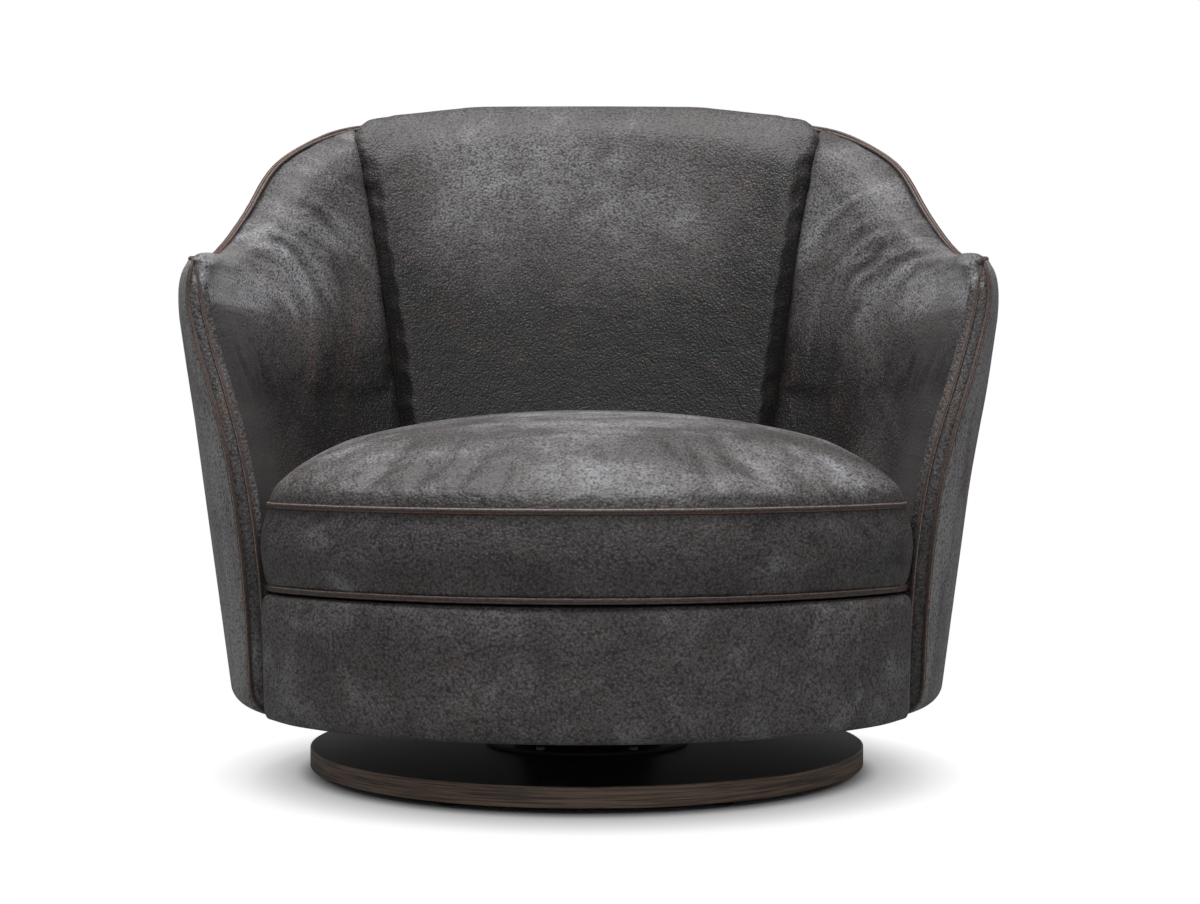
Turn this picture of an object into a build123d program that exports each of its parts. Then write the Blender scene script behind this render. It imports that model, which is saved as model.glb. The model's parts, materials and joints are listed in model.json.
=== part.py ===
"""Swivel barrel chair: upholstered barrel on a ball-bearing swivel over a round wooden plinth.

Millimetres, +Z up, origin on the floor under the swivel axis. The chair faces -Y, and left and
right are the sitter's, so the left arm is on the +X side.
"""

import math
import os

from build123d import *

os.makedirs("parts", exist_ok=True)

# Plinth
plinth_radius = 300
glide_height = 7
plinth_thickness = 21
edge_band_thickness = 2
plinth_top = glide_height + plinth_thickness
glide_radius = 12
glide_count = 6
glide_circle_radius = 268

# Swivel mechanism
swivel_height = 58.5
plate_radius = 110
plate_gauge = 3
hub_radius = 64
dish_rise = 20
dish_slope = 21
dish_lean = 2
bolt_circle_radius = 97
screw_radius = 2.5
screw_depth = 19
screw_count = 6
screw_head_radius = 5
screw_head_height = 3
bolt_radius = 4
bolt_count = 4
bolt_head_radius = 7.5
bolt_head_height = 4.5
tee_barrel_radius = 5.5
tee_barrel_length = 10
tee_flange_radius = 11
tee_flange_gauge = 1.5
ball_radius = 4
ball_circle_radius = 55
ball_count = 18
ball_level = plinth_top + 31
race_half_width = 9
race_half_gap = 1.5
race_top = ball_level + 8
groove_clearance = 0.08
cage_half_width = 7
cage_gauge = 1.6
cage_clearance = 0.15
kingpin_radius = 12
kingpin_head_radius = 20
kingpin_head_height = 5
bush_wall = 3
bush_flange = 8
bush_clearance = 0.05
washer_radius = 22
washer_gauge = 2
washer_clearance = 0.1
nut_radius = 18
nut_height = 7

# Barrel: in plan two half ellipses that share their centre line, wider as it rises
body_floor = 84
plan_centre_y = -60
half_width = 381.5
front_depth = 340
back_depth = 402
side_flare = 0.135
back_flare = 0.10
flare_level = 151
bottom_rounding = 22
panel_rounding = 8
block_top = 790
block_reach = 600
cover_thickness = 6
hem_thickness = 1.5
hem_reach = 75
hem_front_y = -212
back_seam_y = 110

# Barrel from the side, in y and z: the arm front upwards, then the rim from the arm to the back
arm_front = ((-210, 84), (-227, 180), (-231, 270), (-222, 359), (-205, 419), (-184, 479), (-171, 530))
rim_line = ((-163, 543), (-60, 549), (20, 555), (77, 569), (115, 593), (150, 623), (193, 670), (241, 704),
            (295, 732), (350, 744), (600, 748))

# Padded walls
seat_half_width = 318.5
wall_lean = 85
lean_start = 195
lean_rise = 445
well_depth = 325
well_depth_level = 377
well_depth_slope = 0.235
pad_floor = 198.5
pad_clearance = 0.2
pad_crest_rise = 4
pad_pocket_rim_inset = 14
pad_pocket_gap = 8
strip_width = 13
strip_gauge = 4.5
welt_radius = 2.5

# Wooden frame
board_thickness = 18
frame_outer_inset = 14
frame_inner_inset = 38
frame_front_y = -170
rail_top = 194
rail_gauge = 22
rail_gap = 4
box_half_width = 284
box_back_y = 136
side_rail_front_y = -211
block_front_y = -238
front_block_leg = 50
rear_block_leg = 55
block_height = 60
webbing_gauge = 2
webbing_width = 50
webbing_long_pitch = 80
webbing_cross_pitch = 70
post_floor = 92
post_width = 45
side_post_front_y = 18
back_post_inner_x = 150
frame_rim_inset = 16
frame_well_gap = 8.5
top_rail_depth = 62

# Seat
deck_top = 210
deck_thickness = 12
panel_half_width = 318
panel_thickness = 22
cushion_half_width = 317.5
cushion_front_y = -402
cushion_back_y = 177
cushion_floor = 210.6
bottom_welt_level = 214.5
top_welt_level = 296
crown_level = 385
crown_roundness = 0.57
cushion_corner_rounding = 26
cushion_welt_radius = 3.2

# Back pillow
pillow_top = 766
pillow_bow_radius = 700
pillow_foot_y = 179.5
pillow_back_y = 384
pillow_corner_rounding = 30
pillow_edge_rounding = 8

board_floor = plinth_top + swivel_height
board_top = board_floor + board_thickness


def keep(piece, name):
    piece.part.label = name
    export_step(piece.part, f"parts/{name}.step")


def half_sizes(level, inset):
    """Half width, front depth and back depth of the barrel's outline at one level."""
    rise = level - flare_level
    return (
        half_width + side_flare * rise - inset,
        front_depth - inset,
        back_depth + back_flare * rise - inset,
    )


def barrel_outline(level, inset):
    """The barrel's plan as four quarter ellipses."""
    across, front, back = half_sizes(level, inset)
    centre = (0, plan_centre_y)
    EllipticalCenterArc(centre, across, back, 0, arc_size=90)
    EllipticalCenterArc(centre, across, back, 90, arc_size=90)
    EllipticalCenterArc(centre, across, front, 180, arc_size=90)
    EllipticalCenterArc(centre, across, front, 270, arc_size=90)


def barrel_block(inset, floor=body_floor, rounding=bottom_rounding):
    """The full barrel, drawn in by inset all round, with its lower edge rounded under."""
    with BuildPart() as block:
        for level in (floor, block_top):
            with BuildSketch(Plane.XY.offset(level)):
                with BuildLine():
                    barrel_outline(level, inset)
                make_face()
        loft(ruled=True)
        if rounding > inset:
            under = block.faces().sort_by(Axis.Z)[0]
            fillet(under.edges(), radius=rounding - inset)
    return block.part


def well_half_width(level):
    """Half the room between the arms: straight at the seat, leaning out above it."""
    rise = min(max((level - lean_start) / lean_rise, 0), 1)
    return seat_half_width + wall_lean * rise * rise * (3 - 2 * rise)


def well_block(grow=0):
    """The room between the arms and in front of the back, open to the front."""
    with BuildPart() as room:
        for level in (60, 195, 280, 365, 450, 540, 640, block_top):
            across = well_half_width(level) + grow
            back = well_depth + well_depth_slope * (level - well_depth_level) + grow
            with BuildSketch(Plane.XY.offset(level)):
                with BuildLine():
                    EllipticalCenterArc((0, plan_centre_y), across, back, 0, arc_size=90)
                    EllipticalCenterArc((0, plan_centre_y), across, back, 90, arc_size=90)
                    Line((-across, plan_centre_y), (-across, -470))
                    Line((-across, -470), (across, -470))
                    Line((across, -470), (across, plan_centre_y))
                make_face()
        loft()
    return room.part


def shifted(points, inset):
    """Points of a side outline, each moved square to its neighbours by inset, into the barrel."""
    moved = []
    for i, (y, z) in enumerate(points):
        y_before, z_before = points[max(i - 1, 0)]
        y_after, z_after = points[min(i + 1, len(points) - 1)]
        run, climb = y_after - y_before, z_after - z_before
        length = math.hypot(run, climb)
        moved.append((y + inset * climb / length, z - inset * run / length))
    return moved


def side_block(inset):
    """The room behind the arm fronts and under the rim, drawn in by inset.

    Its outline is the barrel seen from the side: arm front, top corner and the rim's climb.
    """
    front = shifted(arm_front, inset)
    rim = shifted(rim_line, inset)
    corner = (front[-1][0], rim[0][1])
    with BuildPart() as block:
        with BuildSketch(Plane.YZ.offset(-block_reach)):
            with BuildLine():
                Spline(*front)
                Line(front[-1], corner)
                Line(corner, rim[0])
                Spline(*rim)
                Polyline(rim[-1], (rim[-1][0], 0), (front[0][0], 0), front[0])
            make_face()
        extrude(amount=2 * block_reach)
    return block.part


def half_space(x_low, x_high, y_low, y_high, z_low=0, z_high=900):
    """A plain box that keeps one region of a piece."""
    with BuildPart() as region:
        with BuildSketch(Plane.XY.offset(z_low)):
            with Locations(((x_low + x_high) / 2, (y_low + y_high) / 2)):
                Rectangle(x_high - x_low, y_high - y_low)
        extrude(amount=z_high - z_low)
    return region.part


def turned(points):
    """A turned piece on the swivel axis, from points of radius and level."""
    with BuildPart() as body:
        with BuildSketch(Plane.XZ):
            with BuildLine():
                Polyline(*points, close=True)
            make_face()
        revolve(axis=Axis.Z)
    return body.part


# Plinth: a round board with a veneer edge band, on six glides
with BuildPart() as plinth_disc:
    with BuildSketch(Plane.XY.offset(glide_height)):
        Circle(plinth_radius - edge_band_thickness)
    extrude(amount=plinth_thickness)
    with BuildSketch(Plane.XY.offset(plinth_top - screw_depth)):
        with PolarLocations(bolt_circle_radius, screw_count):
            Circle(screw_radius)
    extrude(amount=screw_depth, mode=Mode.SUBTRACT)
keep(plinth_disc, "plinth_disc")

with BuildPart() as plinth_edge_band:
    with BuildSketch(Plane.XY.offset(glide_height)):
        Circle(plinth_radius)
        Circle(plinth_radius - edge_band_thickness, mode=Mode.SUBTRACT)
    extrude(amount=plinth_thickness)
    outer_edges = plinth_edge_band.edges().filter_by(GeomType.CIRCLE)
    fillet(outer_edges.filter_by(lambda edge: edge.radius > plinth_radius - 1), radius=1.2)
keep(plinth_edge_band, "plinth_edge_band")

with BuildPart() as glides:
    with BuildSketch():
        with PolarLocations(glide_circle_radius, glide_count):
            Circle(glide_radius)
    extrude(amount=glide_height)
    fillet(glides.faces().group_by(Axis.Z)[0].edges(), radius=1.5)
keep(glides, "glides")

# Swivel: two pressed dishes, a ball race between them and a kingpin that holds them together
deck_low = plinth_top + dish_rise
with BuildPart() as swivel_lower_plate:
    add(turned((
        (kingpin_radius, deck_low),
        (kingpin_radius, deck_low + plate_gauge),
        (hub_radius, deck_low + plate_gauge),
        (hub_radius + dish_slope, plinth_top + plate_gauge),
        (plate_radius, plinth_top + plate_gauge),
        (plate_radius, plinth_top),
        (hub_radius + dish_slope - dish_lean, plinth_top),
        (hub_radius - dish_lean, deck_low),
    )))
    with BuildSketch(Plane.XY.offset(plinth_top)):
        with PolarLocations(bolt_circle_radius, screw_count):
            Circle(screw_radius)
    extrude(amount=plate_gauge, mode=Mode.SUBTRACT)
keep(swivel_lower_plate, "swivel_lower_plate")

with BuildPart() as plate_screws:
    with BuildSketch(Plane.XY.offset(plinth_top - screw_depth)):
        with PolarLocations(bolt_circle_radius, screw_count):
            Circle(screw_radius)
    extrude(amount=screw_depth + plate_gauge)
    with BuildSketch(Plane.XY.offset(plinth_top + plate_gauge)):
        with PolarLocations(bolt_circle_radius, screw_count):
            Circle(screw_head_radius)
    extrude(amount=screw_head_height)
    fillet(plate_screws.faces().group_by(Axis.Z)[-1].edges(), radius=1.2)
keep(plate_screws, "plate_screws")


def race(low, high):
    """One pressed ring of the ball race, with its groove for the balls."""
    with BuildPart() as ring:
        with BuildSketch(Plane.XY.offset(low)):
            Circle(ball_circle_radius + race_half_width)
            Circle(ball_circle_radius - race_half_width, mode=Mode.SUBTRACT)
        extrude(amount=high - low)
        with BuildSketch(Plane.XZ):
            with Locations((ball_circle_radius, ball_level)):
                Circle(ball_radius + groove_clearance)
        revolve(axis=Axis.Z, mode=Mode.SUBTRACT)
    return ring


lower_race = race(deck_low + plate_gauge, ball_level - race_half_gap)
keep(lower_race, "lower_race")
upper_race = race(ball_level + race_half_gap, race_top)
keep(upper_race, "upper_race")

with BuildPart() as ball_cage:
    with BuildSketch(Plane.XY.offset(ball_level - cage_gauge / 2)):
        Circle(ball_circle_radius + cage_half_width)
        Circle(ball_circle_radius - cage_half_width, mode=Mode.SUBTRACT)
        with PolarLocations(ball_circle_radius, ball_count):
            Circle(ball_radius + cage_clearance, mode=Mode.SUBTRACT)
    extrude(amount=cage_gauge)
keep(ball_cage, "ball_cage")

with BuildPart() as bearing_balls:
    with Locations((0, 0, ball_level)):
        with PolarLocations(ball_circle_radius, ball_count):
            Sphere(ball_radius)
keep(bearing_balls, "bearing_balls")

with BuildPart() as swivel_upper_plate:
    add(turned((
        (kingpin_radius + bush_wall, race_top),
        (hub_radius, race_top),
        (hub_radius + dish_slope, board_floor - plate_gauge),
        (plate_radius, board_floor - plate_gauge),
        (plate_radius, board_floor),
        (hub_radius + dish_slope - dish_lean, board_floor),
        (hub_radius - dish_lean, race_top + plate_gauge),
        (kingpin_radius + bush_wall, race_top + plate_gauge),
    )))
    with BuildSketch(Plane.XY.offset(board_floor - plate_gauge)):
        with PolarLocations(bolt_circle_radius, bolt_count, start_angle=45):
            Circle(bolt_radius)
    extrude(amount=plate_gauge, mode=Mode.SUBTRACT)
keep(swivel_upper_plate, "swivel_upper_plate")

flange_low = race_top + plate_gauge
bush_top = flange_low + 2
with BuildPart() as pivot_bush:
    add(turned((
        (kingpin_radius + bush_clearance, race_top - 3),
        (kingpin_radius + bush_wall, race_top - 3),
        (kingpin_radius + bush_wall, flange_low),
        (kingpin_radius + bush_flange, flange_low),
        (kingpin_radius + bush_flange, bush_top),
        (kingpin_radius + bush_clearance, bush_top),
    )))
keep(pivot_bush, "pivot_bush")

with BuildPart() as kingpin:
    add(turned((
        (0, deck_low - kingpin_head_height),
        (kingpin_head_radius, deck_low - kingpin_head_height),
        (kingpin_head_radius, deck_low),
        (kingpin_radius, deck_low),
        (kingpin_radius, board_floor - 4),
        (kingpin_radius - 1.5, board_floor - 2.5),
        (0, board_floor - 2.5),
    )))
keep(kingpin, "kingpin")

washer_low = bush_top + washer_clearance
with BuildPart() as kingpin_washer:
    with BuildSketch(Plane.XY.offset(washer_low)):
        Circle(washer_radius)
        Circle(kingpin_radius, mode=Mode.SUBTRACT)
    extrude(amount=washer_gauge)
keep(kingpin_washer, "kingpin_washer")

with BuildPart() as kingpin_nut:
    with BuildSketch(Plane.XY.offset(washer_low + washer_gauge)):
        RegularPolygon(nut_radius, 6)
        Circle(kingpin_radius, mode=Mode.SUBTRACT)
    extrude(amount=nut_height)
keep(kingpin_nut, "kingpin_nut")

# Seat frame: a board on the swivel, a box of rails, posts and a bent top rail
with BuildPart() as bottom_board:
    with BuildSketch(Plane.XY.offset(board_floor)):
        with BuildLine():
            barrel_outline(board_floor, frame_inner_inset)
        make_face()
    extrude(amount=board_thickness)
    chamfer(bottom_board.faces().sort_by(Axis.Z)[0].edges(), length=4)
    with BuildSketch(Plane.XY.offset(board_floor)):
        with PolarLocations(bolt_circle_radius, bolt_count, start_angle=45):
            Circle(bolt_radius)
    extrude(amount=board_thickness, mode=Mode.SUBTRACT)
    with BuildSketch(Plane.XY.offset(board_top - tee_barrel_length)):
        with PolarLocations(bolt_circle_radius, bolt_count, start_angle=45):
            Circle(tee_barrel_radius)
    extrude(amount=tee_barrel_length, mode=Mode.SUBTRACT)
keep(bottom_board, "bottom_board")

with BuildPart() as plate_bolts:
    with BuildSketch(Plane.XY.offset(board_floor - plate_gauge - bolt_head_height)):
        with PolarLocations(bolt_circle_radius, bolt_count, start_angle=45):
            RegularPolygon(bolt_head_radius, 6)
    extrude(amount=bolt_head_height)
    with BuildSketch(Plane.XY.offset(board_floor - plate_gauge)):
        with PolarLocations(bolt_circle_radius, bolt_count, start_angle=45):
            Circle(bolt_radius)
    extrude(amount=plate_gauge + board_thickness)
keep(plate_bolts, "plate_bolts")

with BuildPart() as tee_nuts:
    with BuildSketch(Plane.XY.offset(board_top - tee_barrel_length)):
        with PolarLocations(bolt_circle_radius, bolt_count, start_angle=45):
            Circle(tee_barrel_radius)
    extrude(amount=tee_barrel_length)
    with BuildSketch(Plane.XY.offset(board_top)):
        with PolarLocations(bolt_circle_radius, bolt_count, start_angle=45):
            Circle(tee_flange_radius)
    extrude(amount=tee_flange_gauge)
    with BuildSketch(Plane.XY.offset(board_top - tee_barrel_length)):
        with PolarLocations(bolt_circle_radius, bolt_count, start_angle=45):
            Circle(bolt_radius)
    extrude(amount=tee_barrel_length + tee_flange_gauge, mode=Mode.SUBTRACT)
keep(tee_nuts, "tee_nuts")

with BuildPart() as front_rail:
    with BuildSketch(Plane.XY.offset(board_top)):
        with BuildLine():
            barrel_outline(flare_level, panel_thickness + rail_gap)
        make_face()
        with BuildLine():
            barrel_outline(flare_level, panel_thickness + rail_gap + rail_gauge)
        make_face(mode=Mode.SUBTRACT)
    extrude(amount=rail_top - board_top)
    add(half_space(-box_half_width, box_half_width, -420, -200), mode=Mode.INTERSECT)
keep(front_rail, "front_rail")

with BuildPart() as side_rails:
    with BuildSketch(Plane.XY.offset(board_top)):
        middle_y = (side_rail_front_y + box_back_y - rail_gauge) / 2
        rail_x = box_half_width - rail_gauge / 2
        with Locations((rail_x, middle_y), (-rail_x, middle_y)):
            Rectangle(rail_gauge, box_back_y - rail_gauge - side_rail_front_y)
    extrude(amount=rail_top - board_top)
keep(side_rails, "side_rails")

with BuildPart() as back_rail:
    with BuildSketch(Plane.XY.offset(board_top)):
        with Locations((0, box_back_y - rail_gauge / 2)):
            Rectangle(2 * box_half_width, rail_gauge)
    extrude(amount=rail_top - board_top)
keep(back_rail, "back_rail")

inner_x = box_half_width - rail_gauge
inner_y = box_back_y - rail_gauge
with BuildPart() as corner_blocks:
    with BuildSketch(Plane.XY.offset(board_top)):
        with BuildLine():
            Polyline((inner_x, inner_y), (inner_x - rear_block_leg, inner_y),
                     (inner_x, inner_y - rear_block_leg), close=True)
        make_face()
        with BuildLine():
            Polyline((inner_x, block_front_y), (inner_x, block_front_y + front_block_leg),
                     (inner_x - front_block_leg, block_front_y), close=True)
        make_face()
        mirror(about=Plane.YZ)
    extrude(amount=block_height)
keep(corner_blocks, "corner_blocks")


def rail_middle_y(x):
    """Where the middle of the curved front rail lies at one x."""
    inset = panel_thickness + rail_gap + rail_gauge / 2
    across, front, _ = half_sizes(flare_level, inset)
    return plan_centre_y - front * math.sqrt(1 - (x / across) ** 2)


with BuildPart() as webbing_long:
    for x in range(-200, 201, webbing_long_pitch):
        front_y = rail_middle_y(abs(x) + webbing_width / 2)
        length = box_back_y - front_y
        with BuildSketch(Plane.XY.offset(rail_top)):
            with Locations((x, front_y + length / 2)):
                Rectangle(webbing_width, length)
        extrude(amount=webbing_gauge)
keep(webbing_long, "webbing_long")

with BuildPart() as webbing_cross:
    for y in range(-190, 91, webbing_cross_pitch):
        with BuildSketch(Plane.XY.offset(rail_top + webbing_gauge)):
            with Locations((0, y)):
                Rectangle(2 * box_half_width, webbing_width)
        extrude(amount=webbing_gauge)
keep(webbing_cross, "webbing_cross")

frame_ring = barrel_block(frame_outer_inset) - barrel_block(frame_inner_inset, rounding=0)
under_rim = side_block(frame_rim_inset)
well_for_frame = well_block(frame_well_gap)
with BuildPart() as frame_wall:
    add(frame_ring)
    add(under_rim, mode=Mode.INTERSECT)
    add(well_for_frame, mode=Mode.SUBTRACT)
    add(half_space(-500, 500, frame_front_y, 500, post_floor), mode=Mode.INTERSECT)


def drop_block(drop):
    """Everything under the rim's line, lowered by drop, for the bent top rail."""
    lowered = [(y, z - drop) for y, z in rim_line]
    with BuildPart() as block:
        with BuildSketch(Plane.YZ.offset(-block_reach)):
            with BuildLine():
                Spline(*lowered)
                Polyline(lowered[-1], (lowered[-1][0], 0), (-300, 0), (-300, lowered[0][1]), lowered[0])
            make_face()
        extrude(amount=2 * block_reach)
    return block.part


below_top_rail = drop_block(top_rail_depth)
with BuildPart() as top_rail:
    add(frame_wall.part)
    add(below_top_rail, mode=Mode.SUBTRACT)
keep(top_rail, "top_rail")


def posts(name, *regions):
    """Upright ply posts of the frame wall, under the top rail."""
    with BuildPart() as group:
        add(frame_wall.part)
        add(below_top_rail, mode=Mode.INTERSECT)
        with BuildPart(mode=Mode.INTERSECT):
            for region in regions:
                add(half_space(*region))
    keep(group, name)


for name, front_y in (("front_posts", frame_front_y), ("side_posts", side_post_front_y)):
    rear_y = front_y + post_width
    posts(name, (250, 500, front_y, rear_y), (-500, -250, front_y, rear_y))
outer_x = back_post_inner_x + post_width
posts("back_posts", (back_post_inner_x, outer_x, 150, 500), (-outer_x, -back_post_inner_x, 150, 500))

# Outer cover: leather over wadding, hemmed under the body
outer_block = barrel_block(0)
cover_cavity = barrel_block(cover_thickness, floor=body_floor + hem_thickness)
with BuildPart() as cover:
    add(outer_block)
    add(cover_cavity, mode=Mode.SUBTRACT)
    with BuildSketch(Plane.XY.offset(body_floor)):
        with BuildLine():
            barrel_outline(body_floor, hem_reach)
        make_face()
    extrude(amount=cover_thickness, mode=Mode.SUBTRACT)
    add(side_block(welt_radius * 2), mode=Mode.INTERSECT)

for name, region in (
    ("outer_arm_left", (0, 500, -300, back_seam_y)),
    ("outer_arm_right", (-500, 0, -300, back_seam_y)),
    ("outer_back", (-500, 500, back_seam_y, 500)),
):
    with BuildPart() as panel:
        add(cover.part)
        add(half_space(*region), mode=Mode.INTERSECT)
    keep(panel, name)

# Edge of the barrel: a boxing strip between an outer and an inner welt
edge_outer = side_block(-welt_radius)
edge_inner = side_block(welt_radius)
with BuildPart() as outer_welt:
    add(barrel_block(-welt_radius, floor=body_floor + 2))
    add(barrel_block(welt_radius, floor=body_floor), mode=Mode.SUBTRACT)
    add(edge_outer, mode=Mode.INTERSECT)
    add(edge_inner, mode=Mode.SUBTRACT)
keep(outer_welt, "outer_welt")

with BuildPart() as inner_welt:
    add(barrel_block(strip_width - welt_radius))
    add(barrel_block(strip_width + welt_radius), mode=Mode.SUBTRACT)
    add(edge_outer, mode=Mode.INTERSECT)
    add(edge_inner, mode=Mode.SUBTRACT)
keep(inner_welt, "inner_welt")

with BuildPart() as edge_strip:
    add(barrel_block(welt_radius))
    add(barrel_block(strip_width - welt_radius), mode=Mode.SUBTRACT)
    add(side_block(0.5), mode=Mode.INTERSECT)
    add(side_block(0.5 + strip_gauge), mode=Mode.SUBTRACT)
keep(edge_strip, "edge_strip")

# Back pillow: bowed in plan, leaning back, rolled over the rim, between two seams
with BuildPart() as pillow_zone:
    with BuildSketch(Plane.XZ.offset(-80)) as pillow_outline:
        with BuildLine():
            ThreePointArc((200, pad_floor), (231, 450), (283, 752))
            ThreePointArc((283, 752), (0, pillow_top), (-283, 752))
            ThreePointArc((-283, 752), (-231, 450), (-200, pad_floor))
            Line((-200, pad_floor), (200, pad_floor))
        make_face()
        fillet(pillow_outline.vertices().group_by(Axis.Y)[-1], radius=pillow_corner_rounding)
    extrude(amount=-420)

bow_axis_y = 214 - pillow_bow_radius
with BuildPart() as back_pillow:
    with BuildSketch(Plane.YZ):
        with BuildLine():
            Line((pillow_foot_y, pad_floor), (272, 672))
            Spline((272, 672), (291, 738), (332, 768), (372, 752), (pillow_back_y, 700),
                   tangents=((0.195, 1), (0, -1)))
            Line((pillow_back_y, 700), (pillow_back_y, pad_floor))
            Line((pillow_back_y, pad_floor), (pillow_foot_y, pad_floor))
        make_face()
    revolve(axis=Axis((0, bow_axis_y, 0), (0, 0, 1)), revolution_arc=40)
    mirror(about=Plane.YZ)
    add(pillow_zone.part, mode=Mode.INTERSECT)
    add(barrel_block(frame_inner_inset + 0.3), mode=Mode.INTERSECT)
    seam_edges = back_pillow.edges().filter_by(
        lambda edge: abs(edge.center().X) > 195 and edge.center().Y < 250
        and edge.center().Z > pad_floor + 2 and edge.length > 40)
    fillet(seam_edges, radius=pillow_edge_rounding)
keep(back_pillow, "back_pillow")

# Padding inside the arms, wrapped round the frame and standing a little over the welt
with BuildPart() as frame_space:
    add(barrel_block(cover_thickness))
    add(barrel_block(frame_inner_inset + 0.3), mode=Mode.SUBTRACT)
    add(side_block(pad_pocket_rim_inset), mode=Mode.INTERSECT)
    add(well_block(pad_pocket_gap), mode=Mode.SUBTRACT)
    add(half_space(-500, 500, frame_front_y - 1, 500), mode=Mode.INTERSECT)

with BuildPart() as pad_crest:
    add(barrel_block(strip_width + welt_radius + 0.5))
    add(side_block(-pad_crest_rise), mode=Mode.INTERSECT)

with BuildPart() as arm_pads:
    add(barrel_block(cover_thickness + pad_clearance))
    add(side_block(0.5 + strip_gauge + pad_clearance), mode=Mode.INTERSECT)
    add(pad_crest.part)
    add(well_block(), mode=Mode.SUBTRACT)
    add(pillow_zone.part, mode=Mode.SUBTRACT)
    add(frame_space.part, mode=Mode.SUBTRACT)
    add(half_space(-500, 500, -300, 500, pad_floor), mode=Mode.INTERSECT)

for name, region in (("arm_pad_left", (0, 500, -300, 500)), ("arm_pad_right", (-500, 0, -300, 500))):
    with BuildPart() as pad:
        add(arm_pads.part)
        add(half_space(*region), mode=Mode.INTERSECT)
    keep(pad, name)

# Front panel: padded, curved with the barrel, below the cushion
with BuildPart() as front_panel:
    add(barrel_block(0, rounding=panel_rounding))
    add(barrel_block(panel_thickness, rounding=0), mode=Mode.SUBTRACT)
    add(half_space(-panel_half_width, panel_half_width, -420, -190, body_floor, deck_top - 0.5),
        mode=Mode.INTERSECT)
    add(side_block(-welt_radius - 1), mode=Mode.SUBTRACT)
    fillet(front_panel.faces().sort_by(Axis.Z)[-1].edges().sort_by(Axis.Y)[0], radius=panel_rounding)
keep(front_panel, "front_panel")

# Seat deck on the webbing, and the dust cover under the board
with BuildPart() as seat_deck:
    add(well_block(-1))
    add(barrel_block(panel_thickness + 1), mode=Mode.INTERSECT)
    add(half_space(-500, 500, -420, 300, deck_top - deck_thickness, deck_top), mode=Mode.INTERSECT)
    add(back_pillow.part, mode=Mode.SUBTRACT)
keep(seat_deck, "seat_deck")

with BuildPart() as dust_cover:
    with BuildSketch(Plane.XY.offset(board_floor - 1)):
        with BuildLine():
            barrel_outline(body_floor, panel_thickness + 2)
        make_face()
        with Locations((0, (hem_front_y - 440) / 2)):
            Rectangle(1000, hem_front_y + 440, mode=Mode.INTERSECT)
        with BuildLine():
            barrel_outline(body_floor, hem_reach + 1)
        make_face()
        Circle(plate_radius + 2, mode=Mode.SUBTRACT)
    extrude(amount=1)
keep(dust_cover, "dust_cover")


# Loose seat cushion: boxed, with a domed top and a welt round each edge
def cushion_section(level, inset):
    """The cushion's plan at one level, drawn in by inset: bowed front, straight sides, bowed back."""
    centre_y = (cushion_front_y + cushion_back_y) / 2
    scale_x = 1 - inset / cushion_half_width
    scale_y = 1 - inset / (cushion_back_y - centre_y)

    def point(x, y):
        return (x * scale_x, centre_y + (y - centre_y) * scale_y)

    side = cushion_half_width
    with BuildSketch(Plane.XY.offset(level)) as section:
        with BuildLine():
            ThreePointArc(point(-side, -250), point(0, cushion_front_y), point(side, -250))
            Line(point(side, -250), point(side, -45))
            ThreePointArc(point(side, -45), point(283, 50), point(198, 142))
            ThreePointArc(point(198, 142), point(0, cushion_back_y), point(-198, 142))
            ThreePointArc(point(-198, 142), point(-283, 50), point(-side, -45))
            Line(point(-side, -45), point(-side, -250))
        make_face()
        fillet(section.vertices(), radius=cushion_corner_rounding * min(scale_x, scale_y))
    return section.sketch


def cushion_welt(level):
    """Piping round the cushion's edge."""
    route = cushion_section(level, 3.5).face().outer_wire()
    with BuildPart() as welt:
        with BuildSketch(Plane(origin=route @ 0, z_dir=route % 0)):
            Circle(cushion_welt_radius)
        sweep(path=route)
    return welt


cushion_bottom_welt = cushion_welt(bottom_welt_level)
keep(cushion_bottom_welt, "cushion_bottom_welt")
cushion_top_welt = cushion_welt(top_welt_level)
keep(cushion_top_welt, "cushion_top_welt")


def crown_height(inset):
    """Height of the domed top over its welt, by how far in from the cushion's side."""
    share = 1 - inset / cushion_half_width
    return (crown_level - top_welt_level) * (1 - share * share) ** crown_roundness


boxing = ((cushion_floor, 12), (bottom_welt_level, 4.5), (234, 0), (255, -2), (277, 0),
          (top_welt_level, 4.5))
crown_insets = (14, 48, 93, 140, 188, 236, 284)
with BuildPart() as cushion_dome:
    dome = [cushion_section(top_welt_level, 4.5)]
    for inset in crown_insets:
        dome.append(cushion_section(top_welt_level + crown_height(inset), inset))
    loft(dome)
    add(cushion_top_welt.part, mode=Mode.SUBTRACT)

with BuildPart() as seat_cushion:
    loft([cushion_section(level, inset) for level, inset in boxing])
    add(cushion_bottom_welt.part, mode=Mode.SUBTRACT)
    add(cushion_top_welt.part, mode=Mode.SUBTRACT)
    add(cushion_dome.part)
keep(seat_cushion, "seat_cushion")
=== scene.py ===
"""Looks of the swivel barrel chair: waxed leather over foam, piped edges, a veneered plinth."""

import json
import math

import bmesh
import bpy
import numpy as np
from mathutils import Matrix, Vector, kdtree, noise


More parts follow.
